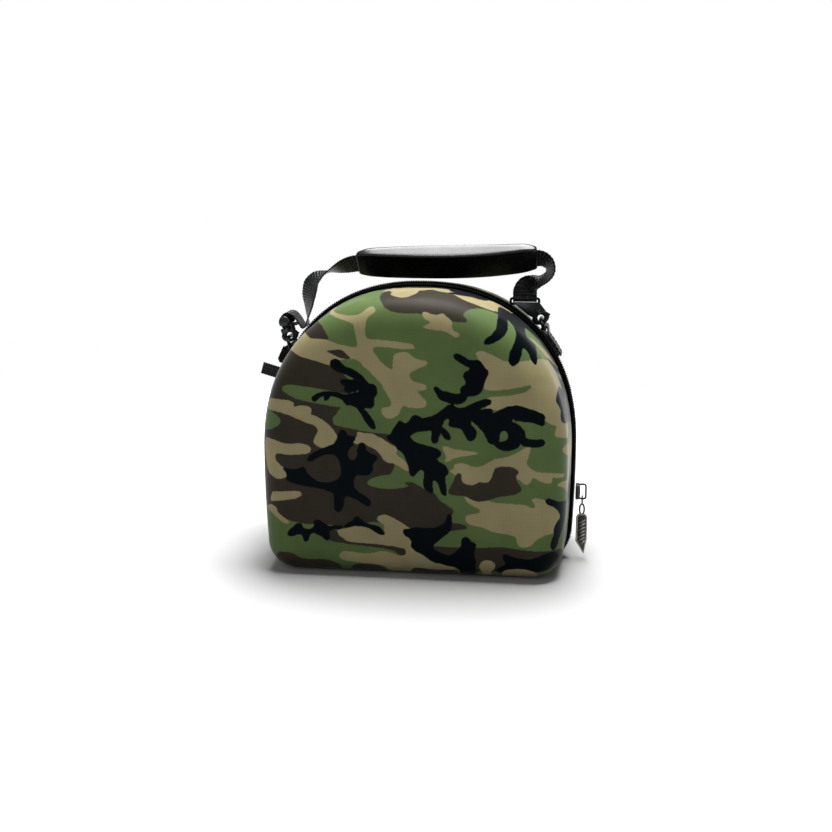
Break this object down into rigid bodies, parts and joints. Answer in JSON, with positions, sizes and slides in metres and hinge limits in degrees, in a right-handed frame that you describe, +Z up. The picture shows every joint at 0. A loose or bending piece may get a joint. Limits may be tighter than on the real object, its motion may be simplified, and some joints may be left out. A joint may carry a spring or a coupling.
{
  "type": "cap carrier",
  "caption": "Arched hard-shell carrier for caps: moulded cloth-covered halves hinged at the base and zipped over the arch, with a webbing strap, moulded grip and zip pull.",
  "frame": {"origin": "on the floor under the middle of the zip, at the middle of the width", "axes": "+X to the right as seen from the front, +Y to the back, +Z up; the front face looks along -Y"},
  "size_m": [0.2857, 0.162, 0.2673],
  "materials": {
    "printed_cloth": "woodland camouflage printed on fine cloth over moulded foam",
    "zip_tape": "black woven tape with moulded teeth",
    "webbing": "black ribbed webbing",
    "black_metal": "satin black",
    "moulded_grip": "glossy black",
    "gunmetal": "worn gunmetal"
  },
  "bodies": {
    "back": {"back_shell": "printed_cloth", "zip_back": "zip_tape", "hinge_back": "zip_tape", "anchor_left": "webbing", "anchor_right": "webbing", "d_ring_left": "black_metal", "d_ring_right": "black_metal", "snap_hook_left": "black_metal", "snap_hook_right": "black_metal", "strap": "webbing", "grip": "moulded_grip", "side_tab": "webbing", "zip_slider": "black_metal"},
    "front": {"front_shell": "printed_cloth", "zip_front": "zip_tape", "hinge_front": "zip_tape"},
    "pull": {"zip_pull": "gunmetal"}
  },
  "joints": [
    {"name": "lid_hinge", "type": "hinge", "parent": "back", "child": "front", "pos_m": [0, 0, 0], "axis": [1, 0, 0], "range_deg": [0, 170]},
    {"name": "pull_swing", "type": "hinge", "parent": "back", "child": "pull", "pos_m": [0.1366, 0, 0.0527], "axis": [1, 0, 0], "range_deg": [-100, 100]}
  ]
}
